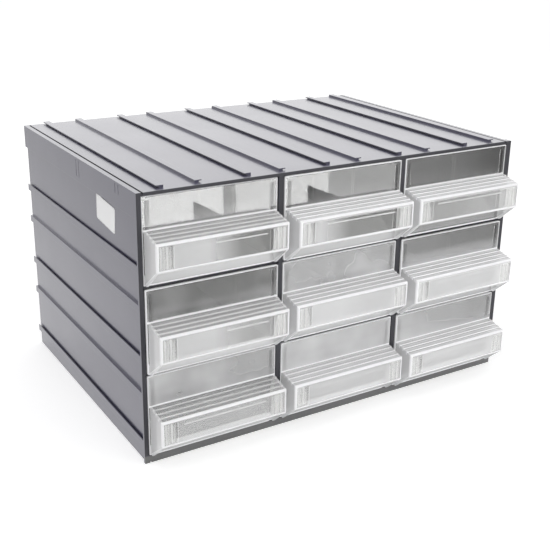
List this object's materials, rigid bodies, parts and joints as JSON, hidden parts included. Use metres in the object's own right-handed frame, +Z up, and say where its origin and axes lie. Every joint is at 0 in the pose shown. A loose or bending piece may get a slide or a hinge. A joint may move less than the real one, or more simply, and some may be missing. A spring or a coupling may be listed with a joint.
{
  "type": "parts bin cabinet",
  "caption": "Low dark plastic cabinet with rows of clear pull-out drawers, stepped hood pulls and hooked joining rails on its sides, top and underside.",
  "frame": {"origin": "centre of the rest face, on the surface that the cabinet stands on", "axes": "+X to the right seen from the front, +Y to the back (drawers open towards -Y), +Z up"},
  "size_m": [0.3819, 0.2935, 0.2322],
  "materials": {
    "case_plastic": "satin moulded polystyrene, dark slate grey",
    "clear_plastic": "clear glossy moulded crystal polystyrene"
  },
  "bodies": {
    "case": {"left_panel": "case_plastic", "right_panel": "case_plastic", "top_panel": "case_plastic", "bottom_panel": "case_plastic", "back_panel": "case_plastic", "partition_left": "case_plastic", "partition_right": "case_plastic", "shelf_low_left": "case_plastic", "shelf_low_centre": "case_plastic", "shelf_low_right": "case_plastic", "shelf_high_left": "case_plastic", "shelf_high_centre": "case_plastic", "shelf_high_right": "case_plastic"},
    "drawer_bottom_left": {"drawer_bottom_left": "clear_plastic"},
    "drawer_bottom_centre": {"drawer_bottom_centre": "clear_plastic"},
    "drawer_bottom_right": {"drawer_bottom_right": "clear_plastic"},
    "drawer_middle_left": {"drawer_middle_left": "clear_plastic"},
    "drawer_middle_centre": {"drawer_middle_centre": "clear_plastic"},
    "drawer_middle_right": {"drawer_middle_right": "clear_plastic"},
    "drawer_top_left": {"drawer_top_left": "clear_plastic"},
    "drawer_top_centre": {"drawer_top_centre": "clear_plastic"},
    "drawer_top_right": {"drawer_top_right": "clear_plastic"}
  },
  "joints": [
    {"name": "slide_bottom_left", "type": "slide", "parent": "case", "child": "drawer_bottom_left", "axis": [0, -1, 0], "range_m": [-0.001, 0.2345]},
    {"name": "slide_bottom_centre", "type": "slide", "parent": "case", "child": "drawer_bottom_centre", "axis": [0, -1, 0], "range_m": [-0.001, 0.2345]},
    {"name": "slide_bottom_right", "type": "slide", "parent": "case", "child": "drawer_bottom_right", "axis": [0, -1, 0], "range_m": [-0.0025, 0.233]},
    {"name": "slide_middle_left", "type": "slide", "parent": "case", "child": "drawer_middle_left", "axis": [0, -1, 0], "range_m": [-0.003, 0.2325]},
    {"name": "slide_middle_centre", "type": "slide", "parent": "case", "child": "drawer_middle_centre", "axis": [0, -1, 0], "range_m": [-0.0015, 0.234]},
    {"name": "slide_middle_right", "type": "slide", "parent": "case", "child": "drawer_middle_right", "axis": [0, -1, 0], "range_m": [-0.0035, 0.232]},
    {"name": "slide_top_left", "type": "slide", "parent": "case", "child": "drawer_top_left", "axis": [0, -1, 0], "range_m": [0, 0.2355]},
    {"name": "slide_top_centre", "type": "slide", "parent": "case", "child": "drawer_top_centre", "axis": [0, -1, 0], "range_m": [-0.0025, 0.233]},
    {"name": "slide_top_right", "type": "slide", "parent": "case", "child": "drawer_top_right", "axis": [0, -1, 0], "range_m": [-0.0015, 0.234]}
  ]
}
